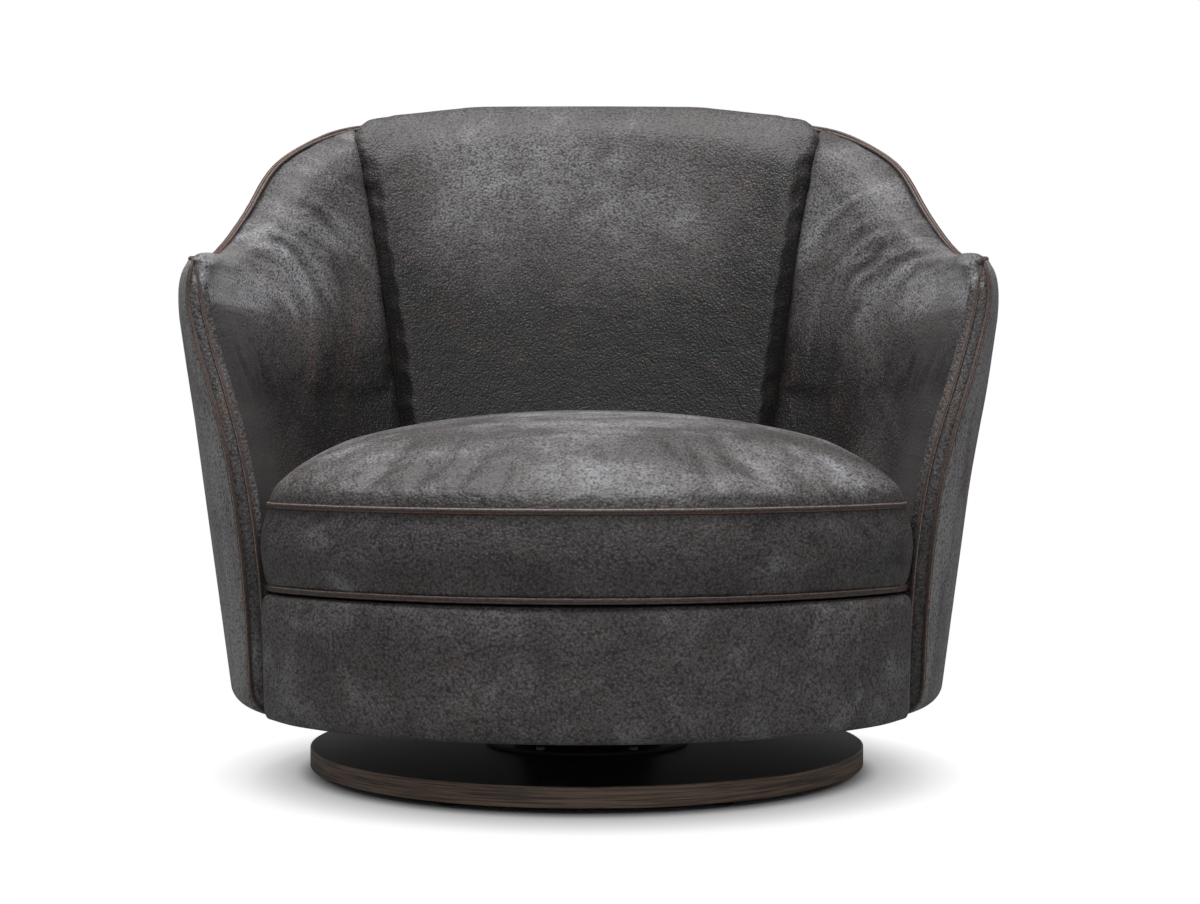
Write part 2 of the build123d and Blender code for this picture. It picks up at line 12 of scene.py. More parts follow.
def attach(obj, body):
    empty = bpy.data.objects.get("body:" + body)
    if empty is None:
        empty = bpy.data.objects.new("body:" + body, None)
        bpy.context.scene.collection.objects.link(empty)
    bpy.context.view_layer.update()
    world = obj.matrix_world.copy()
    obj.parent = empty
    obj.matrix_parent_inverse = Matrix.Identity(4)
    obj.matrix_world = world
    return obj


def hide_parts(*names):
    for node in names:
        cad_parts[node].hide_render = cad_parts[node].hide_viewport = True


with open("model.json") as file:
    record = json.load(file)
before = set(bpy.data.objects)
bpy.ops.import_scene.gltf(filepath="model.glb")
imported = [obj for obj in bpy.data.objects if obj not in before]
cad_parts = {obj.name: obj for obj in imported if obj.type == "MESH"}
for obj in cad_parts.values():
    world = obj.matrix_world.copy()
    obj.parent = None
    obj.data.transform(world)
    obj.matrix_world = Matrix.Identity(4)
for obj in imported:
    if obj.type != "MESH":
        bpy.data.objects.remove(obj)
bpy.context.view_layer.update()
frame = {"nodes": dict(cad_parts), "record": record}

MM = 0.001

# The barrel, as the CAD source has it, in millimetres
plan_centre_y = -60
half_width = 381.5
front_depth = 340
back_depth = 402
side_flare = 0.135
back_flare = 0.10
flare_level = 151
body_floor = 84
bottom_rounding = 22
arm_front = ((-210, 84), (-227, 180), (-231, 270), (-222, 359), (-205, 419), (-184, 479), (-171, 530))
rim_line = ((-163, 543), (-60, 549), (20, 555), (77, 569), (115, 593), (150, 623), (193, 670), (241, 704),
            (295, 732), (350, 744), (600, 748))
strip_width = 13
edge_welt_radius = 2.5

# The padding rolls over the boxing strip along the rim, and leaves this much of it in sight
rim_strip_width = 5.5
rim_strip_levels = (505, 545)
rim_strip_end_y = (230, 330)

# How far the padded sides stand in from the straight flare, by level: they belly, then roll in at the arms'
# tops. It fades out towards the back, the middle and the depth of the padding. The sitter's left arm is
# stuffed a little fuller.
draw_levels = (300, 380, 440, 485, 500, 513, 523, 533, 538, 541, 544, 548, 556, 900)
draw_depths = (0, 0, -1.2, -1.6, -0.6, 1.2, 3.6, 7.5, 11.0, 13.5, 15.5, 16.0, 14.5, 14.0)
left_fullness = 4
left_fullness_levels = (300, 420)
draw_front_y = -20
draw_back_y = 90
draw_aside = (200, 300)
draw_below = (18, 62)
draw_blur = 5

# The boxing strip's section, from the outer welt to the inner: a share of its width, and the rise there
strip_section = ((0, -1.4), (0.2, 0.2), (0.5, 0.8), (0.8, 0.2), (1, -1.4))
strip_tuck = 8
strip_tuck_rise = -3.5
strip_thickness = 2

# The loose cushion, as the CAD source has it
cushion_half_width = 317.5
cushion_front_y = -402
cushion_back_y = 177
cushion_corner_y = -250
cushion_side_end_y = -45
cushion_shoulder = (283, 50)
cushion_heel = (198, 142)
cushion_welt_radius = 3.2
bottom_welt_level = 214.5
top_welt_level = 296
crown_rise = 86
crown_roundness = 0.52

# The seam between the back pillow and an arm's padding, seen from the front
pillow_seam_levels = (198, 450, 752)
pillow_seam_x = (200, 231, 283)

# On the arms' padding, seen from the front: what its streaks run round, and where its front corner is rubbed
# pale and given a painted highlight
flow_centre = (400, 470)
flow_radius = 110
corner_highlight_patch = (387, 517)
corner_highlight_patch_size = (24, 20)

# Camera, from the ellipses of the plinth and the barrel
photo_width = 1200
photo_height = 904
focal_pixels = 2200
horizon_row = 411
axis_column = 587
camera_distance = 2400
camera_height = 388

# A Mix node's sockets when it mixes colours
MIX_FACTOR = 0
MIX_A = 6
MIX_B = 7
MIX_RESULT = 2


def linear(shade):
    """An sRGB hex colour as linear RGBA."""
    parts = [int(shade[i:i + 2], 16) / 255 for i in (1, 3, 5)]
    return [c / 12.92 if c <= 0.04045 else ((c + 0.055) / 1.055) ** 2.4 for c in parts] + [1.0]


def per_mm(size):
    """The scale of a pattern in object coordinates whose features are that many millimetres across."""
    return 1 / (size * MM)


def wave_scale(size):
    """The scale of a Wave texture, whose bands then repeat every 2 pi times that many millimetres."""
    return per_mm(size) / 20


def node(tree, kind, inputs=None, **settings):
    """Adds a shader node, sets its properties, and fills or links its inputs."""
    made = tree.nodes.new(kind)
    for name, value in settings.items():
        setattr(made, name, value)
    for name, value in (inputs or {}).items():
        if isinstance(value, bpy.types.NodeSocket):
            tree.links.new(value, made.inputs[name])
        else:
            made.inputs[name].default_value = value
    return made


def blank(name):
    """A new material with an empty node tree."""
    material = bpy.data.materials.new(name)
    material.use_nodes = True
    material.node_tree.nodes.clear()
    return material, material.node_tree


def output(tree, surface):
    """Ends the material with its surface shader."""
    node(tree, "ShaderNodeOutputMaterial", {"Surface": surface})


def spread(tree, value, low, high):
    """Maps low..high of a value to 0..1 with soft ends."""
    ranged = node(tree, "ShaderNodeMapRange", {"Value": value, "From Min": low, "From Max": high},
                  interpolation_type="SMOOTHSTEP")
    return ranged.outputs["Result"]


def blended(tree, share, first, second):
    """Mixes two colours, each a socket or a hex shade, by share."""
    ends = [linear(c) if isinstance(c, str) else c for c in (first, second)]
    mixed = node(tree, "ShaderNodeMix", {MIX_FACTOR: share, MIX_A: ends[0], MIX_B: ends[1]}, data_type="RGBA")
    return mixed.outputs[MIX_RESULT]


def times(tree, first, second):
    """The product of two values, each a socket or a number."""
    product = node(tree, "ShaderNodeMath", {0: first, 1: second}, operation="MULTIPLY")
    return product.outputs[0]


# Materials

def leather(name, streak=(1, 1, 1), shift=(0, 0, 0), worn_and_painted_light=None, brown=0.5, mottle=1.0, gathered=False,
            flowing=False):
    """Aniline cowhide, waxed near black, then buffed by hand until it is worn.

    Buffing and use rub the dye through to a cooler grey, in clouds and streaks, with brown where
    the dye is thin. The hide is pebbled, with painted shade in the valleys of its grain and a painted
    highlight on their tops. How far it is rubbed through is a given number, or None where the piece's
    own attribute says so; on the cushion, pillow and arms that attribute also carries painted light and
    shade. mottle is how unevenly. The streaks of a flowing hide follow its flow attribute, as it was
    pulled over foam.
    """
    material, tree = blank(name)
    place = node(tree, "ShaderNodeTexCoord").outputs["Object"]
    shifted = node(tree, "ShaderNodeMapping", {"Vector": place, "Location": shift}).outputs[0]
    brushed = node(tree, "ShaderNodeMapping", {"Vector": shifted, "Scale": streak}).outputs[0]
    if flowing:
        brushed = node(tree, "ShaderNodeAttribute", attribute_name="flow").outputs["Vector"]

    cloud = node(tree, "ShaderNodeTexNoise", {"Vector": brushed, "Scale": per_mm(50), "Detail": 9.0,
                                              "Roughness": 0.68, "Distortion": 0.4}).outputs["Fac"]
    patch = node(tree, "ShaderNodeTexNoise", {"Vector": shifted, "Scale": per_mm(190), "Detail": 4.0,
                                              "Roughness": 0.55, "Distortion": 0.6}).outputs["Fac"]
    speck = node(tree, "ShaderNodeTexNoise", {"Vector": shifted, "Scale": per_mm(2.6), "Detail": 3.0,
                                              "Roughness": 0.75}).outputs["Fac"]
    warm = node(tree, "ShaderNodeTexNoise", {"Vector": brushed, "Scale": per_mm(38), "Detail": 8.0,
                                             "Roughness": 0.74, "Distortion": 0.8}).outputs["Fac"]
    # Pebbles are about 1.6 mm across on such a hide; 2.4 mm is the least that shows
    pebble = node(tree, "ShaderNodeTexVoronoi", {"Vector": shifted, "Scale": per_mm(2.4),
                                                 "Randomness": 1.0}, feature="SMOOTH_F1").outputs["Distance"]
    fold = node(tree, "ShaderNodeTexVoronoi", {"Vector": brushed, "Scale": per_mm(11)},
                feature="DISTANCE_TO_EDGE").outputs["Distance"]

    if worn_and_painted_light is None:
        worn_and_painted_light = node(tree, "ShaderNodeAttribute", attribute_name="wear_and_painted_light").outputs["Fac"]
    # The three noises average a half, so their shares are taken off again
    shares = (1.7 * mottle, 0.8 * mottle, 0.5)
    rub_and_painted_light = node(tree, "ShaderNodeMath", {0: cloud, 1: shares[0], 2: -sum(shares) / 2},
               operation="MULTIPLY_ADD").outputs[0]
    rub_and_painted_light = node(tree, "ShaderNodeMath", {0: patch, 1: shares[1], 2: rub_and_painted_light}, operation="MULTIPLY_ADD").outputs[0]
    rub_and_painted_light = node(tree, "ShaderNodeMath", {0: speck, 1: shares[2], 2: rub_and_painted_light}, operation="MULTIPLY_ADD").outputs[0]
    # The given number, or the piece's attribute, joins the rub here, and with it the painted light and shade
    # that some pieces carry
    rub_and_painted_light = node(tree, "ShaderNodeMath", {0: rub_and_painted_light, 1: worn_and_painted_light}, operation="ADD").outputs[0]

    dye_and_painted_light = blended(tree, spread(tree, rub_and_painted_light, -0.15, 0.60), "#1d1b1a", "#575353")
    dye_and_painted_light = blended(tree, spread(tree, rub_and_painted_light, 0.48, 1.10), dye_and_painted_light, "#a2a1a4")
    tan = times(tree, spread(tree, warm, 0.50, 0.70), brown)
    dye_and_painted_light = blended(tree, times(tree, tan, spread(tree, speck, 0.40, 0.62)), dye_and_painted_light, "#6b5045")
    # Painted shade: the valleys of the pebble grain are darkened
    valley_shade = spread(tree, pebble, 0.30, 0.72)
    dye_and_painted_light = blended(tree, times(tree, valley_shade, 0.68), dye_and_painted_light, "#121010")
    # Painted highlight: the tops of the grain are paled, less where the hide is dark
    crest_highlight = times(tree, spread(tree, pebble, 0.30, 0.05), times(tree, spread(tree, rub_and_painted_light, -0.55, 0.10), 0.28))
    dye_and_painted_light = blended(tree, crest_highlight, dye_and_painted_light, "#a5a3a3")

    fine = node(tree, "ShaderNodeBump", {"Height": pebble, "Strength": 0.75, "Distance": -0.0011})
    crease = node(tree, "ShaderNodeBump", {"Height": spread(tree, fold, 0.0, 0.10), "Strength": 0.15,
                                           "Distance": 0.0010, "Normal": fine.outputs[0]})
    lumps = node(tree, "ShaderNodeTexNoise", {"Vector": brushed, "Scale": per_mm(26),
                                              "Detail": 3.0}).outputs["Fac"]
    soft = node(tree, "ShaderNodeBump", {"Height": lumps, "Strength": 0.35, "Distance": 0.004,
                                         "Normal": crease.outputs[0]})
    relief = soft.outputs[0]
    if gathered:
        # The stitches pull the hide into soft pleats along the seams, about 30 mm apart
        pleat = node(tree, "ShaderNodeTexWave", {"Vector": shifted, "Scale": wave_scale(5),
                                                 "Distortion": 2.5, "Detail": 1.0, "Detail Scale": 2.0},
                     bands_direction="Z").outputs["Fac"]
        pull = node(tree, "ShaderNodeAttribute", attribute_name="seam").outputs["Fac"]
        relief = node(tree, "ShaderNodeBump", {"Height": times(tree, pleat, pull), "Strength": 0.8,
                                               "Distance": 0.0016, "Normal": relief}).outputs[0]
    rough = node(tree, "ShaderNodeMapRange", {"Value": rub_and_painted_light, "To Min": 0.46, "To Max": 0.62}).outputs["Result"]
    surface = node(tree, "ShaderNodeBsdfPrincipled", {
        "Base Color": dye_and_painted_light, "Roughness": rough, "Normal": relief, "IOR": 1.5,
        "Sheen Weight": 0.1, "Sheen Roughness": 0.45, "Sheen Tint": linear("#b9b6b4")})
    output(tree, surface.outputs[0])
    return material


def piping_leather(name):
    """The same hide, skived thin and wrapped round a cord, rubbed through to rust along both its sides; on
    its outer side that pale line is also a painted highlight.
    """
    material, tree = blank(name)
    place = node(tree, "ShaderNodeTexCoord").outputs["Object"]
    side = node(tree, "ShaderNodeAttribute", attribute_name="side").outputs["Fac"]
    wobble = node(tree, "ShaderNodeTexNoise", {"Vector": place, "Scale": per_mm(22), "Detail": 5.0,
                                               "Roughness": 0.6}).outputs["Fac"]
    speck = node(tree, "ShaderNodeTexNoise", {"Vector": place, "Scale": per_mm(2.2), "Detail": 3.0,
                                              "Roughness": 0.7}).outputs["Fac"]
    level = node(tree, "ShaderNodeMath", {0: wobble, 1: 0.35, 2: side}, operation="MULTIPLY_ADD").outputs[0]
    outer_rub_and_highlight = times(tree, spread(tree, level, 0.72, 0.86), spread(tree, level, 1.06, 0.94))
    lower = times(tree, spread(tree, level, -0.18, -0.32), spread(tree, level, -0.62, -0.46))
    dye_and_painted_light = blended(tree, spread(tree, speck, 0.3, 0.7), "#282829", "#4b4a4c")
    # The pale tan line along the cord's outer side: rub, and a painted highlight
    dye_and_painted_light = blended(tree, times(tree, outer_rub_and_highlight, spread(tree, speck, 0.25, 0.6)), dye_and_painted_light, "#a5806b")
    dye_and_painted_light = blended(tree, times(tree, lower, spread(tree, speck, 0.3, 0.55)), dye_and_painted_light, "#8c5a45")
    pebble = node(tree, "ShaderNodeTexVoronoi", {"Vector": place, "Scale": per_mm(2.0)},
                  feature="SMOOTH_F1").outputs["Distance"]
    fine = node(tree, "ShaderNodeBump", {"Height": pebble, "Strength": 0.4, "Distance": -0.0004})
    soft = node(tree, "ShaderNodeBump", {"Height": wobble, "Strength": 0.4, "Distance": 0.003,
                                         "Normal": fine.outputs[0]})
    surface = node(tree, "ShaderNodeBsdfPrincipled", {
        "Base Color": dye_and_painted_light, "Roughness": 0.5, "Normal": soft.outputs[0], "IOR": 1.5,
        "Sheen Weight": 0.1, "Sheen Roughness": 0.45, "Sheen Tint": linear("#b9b6b4")})
    output(tree, surface.outputs[0])
    return material


def stained_wood(name, dark, light, line_mm, stretch):
    """Oak veneer, stained dark and lacquered: long fine grain lines along the board."""
    material, tree = blank(name)
    place = node(tree, "ShaderNodeTexCoord").outputs["Object"]
    drawn = node(tree, "ShaderNodeMapping", {"Vector": place, "Scale": stretch}).outputs[0]
    lines = node(tree, "ShaderNodeTexNoise", {"Vector": drawn, "Scale": per_mm(line_mm), "Detail": 4.0,
                                              "Roughness": 0.6}).outputs["Fac"]
    pores = node(tree, "ShaderNodeTexNoise", {"Vector": drawn, "Scale": per_mm(line_mm * 0.35), "Detail": 3.0,
                                              "Roughness": 0.6}).outputs["Fac"]
    stain = blended(tree, spread(tree, lines, 0.34, 0.66), dark, light)
    stain = blended(tree, times(tree, spread(tree, pores, 0.56, 0.68), 0.6), stain, dark)
    relief = node(tree, "ShaderNodeBump", {"Height": pores, "Strength": 0.3, "Distance": -0.0004})
    surface = node(tree, "ShaderNodeBsdfPrincipled", {
        "Base Color": stain, "Roughness": 0.42, "Normal": relief.outputs[0], "IOR": 1.5})
    output(tree, surface.outputs[0])
    return material


def plywood(name):
    """Birch plywood, sawn and left raw."""
    return stained_wood(name, "#9c7a52", "#c9a97c", 3.0, (0.06, 0.06, 1.0))


def zinc_plate(name):
    """Pressed steel with a bright zinc plate, a little cloudy, its colour toned down to a dull grey as
    painted shade in the base.
    """
    material, tree = blank(name)
    place = node(tree, "ShaderNodeTexCoord").outputs["Object"]
    bloom = node(tree, "ShaderNodeTexNoise", {"Vector": place, "Scale": per_mm(9),
                                              "Detail": 4.0}).outputs["Fac"]
    # Darker than bright zinc: painted shade for the parts inside the base
    tone = blended(tree, bloom, "#7f8183", "#b4b6b7")
    rough = node(tree, "ShaderNodeMapRange", {"Value": bloom, "To Min": 0.42,
                                              "To Max": 0.58}).outputs["Result"]
    surface = node(tree, "ShaderNodeBsdfPrincipled", {
        "Base Color": tone, "Metallic": 1.0, "Roughness": rough})
    output(tree, surface.outputs[0])
    return material


def powder_coat(name):
    """Steel with a black powder coat: an even orange peel of about 2 mm."""
    material, tree = blank(name)
    place = node(tree, "ShaderNodeTexCoord").outputs["Object"]
    peel = node(tree, "ShaderNodeTexNoise", {"Vector": place, "Scale": per_mm(2),
                                             "Detail": 2.0}).outputs["Fac"]
    tone = blended(tree, peel, "#1e1e1e", "#2c2c2d")
    relief = node(tree, "ShaderNodeBump", {"Height": peel, "Strength": 0.3, "Distance": 0.0003})
    surface = node(tree, "ShaderNodeBsdfPrincipled", {
        "Base Color": tone, "Roughness": 0.45, "Normal": relief.outputs[0], "IOR": 1.5})
    output(tree, surface.outputs[0])
    return material


def nylon(name, low, high):
    """Moulded nylon, with the faint mottle of its cooling."""
    material, tree = blank(name)
    place = node(tree, "ShaderNodeTexCoord").outputs["Object"]
    mottle = node(tree, "ShaderNodeTexNoise", {"Vector": place, "Scale": per_mm(5),
                                               "Detail": 3.0}).outputs["Fac"]
    tone = blended(tree, mottle, low, high)
    relief = node(tree, "ShaderNodeBump", {"Height": mottle, "Strength": 0.15, "Distance": 0.0003})
    surface = node(tree, "ShaderNodeBsdfPrincipled", {
        "Base Color": tone, "Roughness": 0.5, "Normal": relief.outputs[0], "IOR": 1.53})
    output(tree, surface.outputs[0])
    return material


def woven(name, low, high, thread_mm):
    """Plain woven cloth: warp and weft threads pass over and under, drawn 2 pi times as wide as they are."""
    material, tree = blank(name)
    place = node(tree, "ShaderNodeTexCoord").outputs["Object"]
    warp, weft = [node(tree, "ShaderNodeTexWave", {"Vector": place, "Scale": wave_scale(thread_mm),
                                                   "Distortion": 1.0, "Detail": 2.0},
                       bands_direction=way).outputs["Fac"] for way in ("X", "Y")]
    weave = times(tree, warp, weft)
    tone = blended(tree, weave, low, high)
    relief = node(tree, "ShaderNodeBump", {"Height": weave, "Strength": 0.5, "Distance": 0.0006})
    surface = node(tree, "ShaderNodeBsdfPrincipled", {
        "Base Color": tone, "Roughness": 0.9, "Normal": relief.outputs[0], "Sheen Weight": 0.2})
    output(tree, surface.outputs[0])
    return material


# Shapes

def smooth_line(points, step=4.0):
    """Points every few millimetres along a natural cubic through the given points."""
    points = np.array(points, float)
    reach = np.concatenate(([0], np.cumsum(np.linalg.norm(np.diff(points, axis=0), axis=1))))
    gaps = np.diff(reach)
    count = len(points)
    matrix = np.eye(count)
    slopes = np.zeros_like(points)
    for i in range(1, count - 1):
        matrix[i, i - 1:i + 2] = gaps[i - 1], 2 * (gaps[i - 1] + gaps[i]), gaps[i]
        slopes[i] = 6 * ((points[i + 1] - points[i]) / gaps[i] - (points[i] - points[i - 1]) / gaps[i - 1])
    bend = np.linalg.solve(matrix, slopes)
    found = []
    for at in np.linspace(0, reach[-1], max(int(reach[-1] / step), 2)):
        i = min(int(np.searchsorted(reach, at, "right")) - 1, count - 2)
        gap, left, right = gaps[i], reach[i + 1] - at, at - reach[i]
        found.append((bend[i] * left ** 3 + bend[i + 1] * right ** 3) / (6 * gap)
                     + (points[i] / gap - bend[i] * gap / 6) * left
                     + (points[i + 1] / gap - bend[i + 1] * gap / 6) * right)
    return np.array(found)


def ramp(values, low, high):
    """0 at low, 1 at high, with soft ends."""
    share = np.clip((np.asarray(values, float) - low) / (high - low), 0, 1)
    return share * share * (3 - 2 * share)


def barrel_sizes(level, inset):
    """Half width, front depth and back depth of the barrel at one level, with its rounded lower edge."""
    rise = level - flare_level
    under = max(bottom_rounding - (level - body_floor), 0)
    inset = inset + bottom_rounding - math.sqrt(max(bottom_rounding ** 2 - under ** 2, 0))
    across = half_width + side_flare * rise - inset
    behind = back_depth + back_flare * rise - inset
    return across, front_depth - inset, behind


def edge_route(inset, rim_inset, hem=1):
    """The barrel's edge on the left half: up the arm front, round its corner and along the rim to the back.

    It stands in from the barrel's outside by inset, and by rim_inset along the arm's and wing's rim.
    """
    front = smooth_line(arm_front)
    rim = smooth_line(rim_line)
    side_share = 0.93
    back_steps = 90

    def sizes(y, level):
        over = float(ramp(level, *rim_strip_levels) * (1 - ramp(y, *rim_strip_end_y)))
        return barrel_sizes(level, inset + (rim_inset - inset) * over)

    route = []
    for y, z in front:
        if z < body_floor + hem:
            continue
        across, ahead, _ = sizes(y, z)
        route.append((across * math.sqrt(1 - ((y - plan_centre_y) / ahead) ** 2), y, z))
    # Its end turns under the body
    x, y, z = route[0]
    route.insert(0, (x - 9, y + 2, z - 1.5))
    # Up to this share of the barrel's depth the rim is followed by y, and then by its turn round the back
    for y, z in rim:
        if (y - plan_centre_y) / barrel_sizes(z, 0)[2] > side_share:
            break
        across, ahead, behind = sizes(y, z)
        share = (y - plan_centre_y) / (ahead if y < plan_centre_y else behind)
        route.append((across * math.sqrt(1 - share ** 2), y, z))
    start = math.asin(side_share)
    for i in range(1, back_steps + 1):
        turn = start + (math.pi / 2 - start) * i / back_steps
        y, level = rim[-1]
        for _ in range(4):
            across, _, behind = sizes(y, level)
            y = plan_centre_y + behind * math.sin(turn)
            level = float(np.interp(y, rim[:, 0], rim[:, 1]))
        route.append((across * math.cos(turn), y, level))
    return np.array(route) * MM


def both_halves(route):
    """A left-hand route continued to its mirror on the right."""
    other = route[-2::-1] * np.array((-1, 1, 1))
    return np.concatenate((route, other))


def evened(routes, step=0.004, rounding=6):
    """Routes that run side by side, with points at even spacing along the first and their corners eased."""
    for _ in range(2):
        reach = np.concatenate(([0], np.cumsum(np.linalg.norm(np.diff(routes[0], axis=0), axis=1))))
        at = np.linspace(0, reach[-1], int(reach[-1] / step))
        routes = [np.stack([np.interp(at, reach, route[:, k]) for k in range(3)], axis=1) for route in routes]
        for route in routes * rounding:
            route[1:-1] = (route[:-2] + 2 * route[1:-1] + route[2:]) / 4
    return routes


def linked(name, mesh, material):
    """An object for a mesh, in the scene, with one material and smooth shading."""
    mesh.materials.clear()
    mesh.materials.append(material)
    mesh.polygons.foreach_set("use_smooth", [True] * len(mesh.polygons))
    piece = bpy.data.objects.new(name, mesh)
    bpy.context.scene.collection.objects.link(piece)
    return piece


def arc(start, through, end, step=4.0):
    """Points along the arc through three points of a plan."""
    (ax, ay), (bx, by), (cx, cy) = start, through, end
    twice = 2 * (ax * (by - cy) + bx * (cy - ay) + cx * (ay - by))
    sq_a, sq_b, sq_c = ax * ax + ay * ay, bx * bx + by * by, cx * cx + cy * cy
    x = (sq_a * (by - cy) + sq_b * (cy - ay) + sq_c * (ay - by)) / twice
    y = (sq_a * (cx - bx) + sq_b * (ax - cx) + sq_c * (bx - ax)) / twice
    radius = math.hypot(ax - x, ay - y)
    first, middle, last = (math.atan2(q - y, p - x) for p, q in (start, through, end))
    turn = (last - first) % (2 * math.pi)
    if (middle - first) % (2 * math.pi) > turn:
        turn -= 2 * math.pi
    count = max(int(abs(turn) * radius / step), 2)
    return [(x + radius * math.cos(first + turn * i / count), y + radius * math.sin(first + turn * i / count))
            for i in range(count)]


def cushion_outline(inset, level):
    """The cushion's plan at one level, drawn in by inset, as a closed loop of points in metres."""
    middle_y = (cushion_front_y + cushion_back_y) / 2
    side = cushion_half_width
    front_left, front_right = (side, cushion_corner_y), (-side, cushion_corner_y)
    side_left, side_right = (side, cushion_side_end_y), (-side, cushion_side_end_y)
    heel_right, shoulder_right = [(-x, y) for x, y in (cushion_heel, cushion_shoulder)]
    run = cushion_side_end_y - cushion_corner_y
    steps = 50
    plan = arc(front_right, (0, cushion_front_y), front_left)
    plan += [(side, cushion_corner_y + run * i / steps) for i in range(steps)]
    plan += arc(side_left, cushion_shoulder, cushion_heel)
    plan += arc(cushion_heel, (0, cushion_back_y), heel_right)
    plan += arc(heel_right, shoulder_right, side_right)
    plan += [(-side, cushion_side_end_y - run * i / steps) for i in range(steps)]
    plan = np.array(plan)
    for _ in range(30):
        plan = (np.roll(plan, 1, axis=0) + 2 * plan + np.roll(plan, -1, axis=0)) / 4
    plan[:, 0] *= 1 - inset / side
    plan[:, 1] = middle_y + (plan[:, 1] - middle_y) * (1 - inset / (cushion_back_y - middle_y))
    return np.column_stack((plan, np.full(len(plan), level))) * MM


def stations_of(route):
    """A search tree of the route's points."""
    stations = kdtree.KDTree(len(route))
    for i, point in enumerate(route):
        stations.insert(point, i)
    stations.balance()
    return stations


def piping(name, route, radius, material, outward, closed=False):
    """A piped cord along a route. Its side attribute runs from -1 inside to 1 outside across the cord."""
    curve = bpy.data.curves.new(name, "CURVE")
    curve.dimensions = "3D"
    curve.bevel_depth = radius
    curve.bevel_resolution = 3
    curve.use_fill_caps = True
    line = curve.splines.new("POLY")
    line.points.add(len(route) - 1)
    line.points.foreach_set("co", np.hstack((route, np.ones((len(route), 1)))).ravel())
    line.use_cyclic_u = closed
    maker = bpy.data.objects.new(name, curve)
    mesh = bpy.data.meshes.new_from_object(maker)
    mesh.name = name
    bpy.data.objects.remove(maker)
    bpy.data.curves.remove(curve)
    stations = stations_of(route)
    across = []
    for vertex in mesh.vertices:
        point, i, _ = stations.find(vertex.co)
        away = (vertex.co - point) / radius
        across.append(away.dot(Vector(outward(point, i))))
        swell = 1 + 0.07 * noise.noise(vertex.co * 90) + 0.05 * noise.noise(vertex.co * 260)
        vertex.co = point + (vertex.co - point) * swell
    mesh.attributes.new("side", "FLOAT", "POINT").data.foreach_set("value", across)
    return linked(name, mesh, material)


def merged_copy(node_name, piece_name, material):
    """A piece that starts from a CAD node's mesh, with its loose triangles joined."""
    mesh = frame["nodes"][node_name].data.copy()
    mesh.name = piece_name
    work = bmesh.new()
    work.from_mesh(mesh)
    bmesh.ops.remove_doubles(work, verts=work.verts, dist=0.01 * MM)
    work.to_mesh(mesh)
    work.free()
    return linked(piece_name, mesh, material)


def baked(piece):
    """Applies the piece's modifiers to its mesh."""
    graph = bpy.context.evaluated_depsgraph_get()
    mesh = bpy.data.meshes.new_from_object(piece.evaluated_get(graph))
    old = piece.data
    mesh.name = old.name
    piece.modifiers.clear()
    piece.data = mesh
    bpy.data.meshes.remove(old)
    mesh.name = piece.name
    mesh.polygons.foreach_set("use_smooth", [True] * len(mesh.polygons))


def places(piece, what="co"):
    """The piece's vertices as an array: where they are, or another of their vectors."""
    found = np.empty(len(piece.data.vertices) * 3, np.float32)
    piece.data.vertices.foreach_get(what, found)
    return found.reshape(-1, 3).astype(float)


def normals(piece):
    """The piece's vertex normals as an array."""
    return places(piece, "normal")


def put(piece, points):
    """Moves the piece's vertices to the points."""
    piece.data.vertices.foreach_set("co", points.astype(np.float32).ravel())
    piece.data.update()


def remeshed(piece, voxel):
    """Even quads all over the piece, ready for cloth."""
    remesh = piece.modifiers.new("Remesh", "REMESH")
    remesh.mode = "VOXEL"
    remesh.voxel_size = voxel * MM
    remesh.use_smooth_shade = True
    baked(piece)


def eased(piece, rounds, chosen=lambda point: True):
    """Rounds the piece's corners off, as foam does under leather, at the points that are chosen."""
    work = bmesh.new()
    work.from_mesh(piece.data)
    loose = [v for v in work.verts if chosen(v.co)]
    for _ in range(rounds):
        bmesh.ops.smooth_vert(work, verts=loose, factor=0.5,
                              use_axis_x=True, use_axis_y=True, use_axis_z=True)
    work.to_mesh(piece.data)
    work.free()


def stuffed(piece, pressure, reach, held=None, slack=0.0):
    """Blows the piece up as cloth, with gravity off.

    held gives each point's grip, and no point moves beyond reach, in millimetres.
    """
    start = places(piece)
    if held is not None:
        group = piece.vertex_groups.new(name="held")
        for i, weight in enumerate(held(start)):
            if weight > 0.01:
                group.add([i], float(weight), "REPLACE")
    cloth = piece.modifiers.new("Cloth", "CLOTH")
    settings = cloth.settings
    settings.quality = 4
    settings.mass = 0.4
    settings.tension_stiffness = 20
    settings.compression_stiffness = 20
    settings.shear_stiffness = 8
    settings.bending_stiffness = 2
    settings.use_pressure = True
    settings.uniform_pressure_force = pressure
    settings.shrink_min = -slack
    settings.effector_weights.gravity = 0
    cloth.collision_settings.use_collision = False
    if held is not None:
        settings.vertex_group_mass = "held"
    for step in range(1, 21):
        bpy.context.scene.frame_set(step)
    baked(piece)
    bpy.context.scene.frame_set(1)
    moved = places(piece) - start
    length = np.linalg.norm(moved, axis=1, keepdims=True)
    put(piece, start + moved * np.minimum(1, reach * MM / np.maximum(length, 1e-9)))
    piece.vertex_groups.clear()


def subdivided(piece):
    """Splits each of the piece's faces into smaller, smoother ones."""
    finer = piece.modifiers.new("Subdivision", "SUBSURF")
    finer.levels = 1
    finer.render_levels = 1
    baked(piece)


def raised(piece, height):
    """Moves each point along its normal by height(point), in millimetres."""
    points = places(piece)
    lift = np.array([height(p) for p in points])
    put(piece, points + normals(piece) * lift[:, None] * MM)


def finished(piece, body, replaced):
    """Says what the piece rides on and the CAD nodes it stands for."""
    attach(piece, body)
    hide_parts(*replaced)


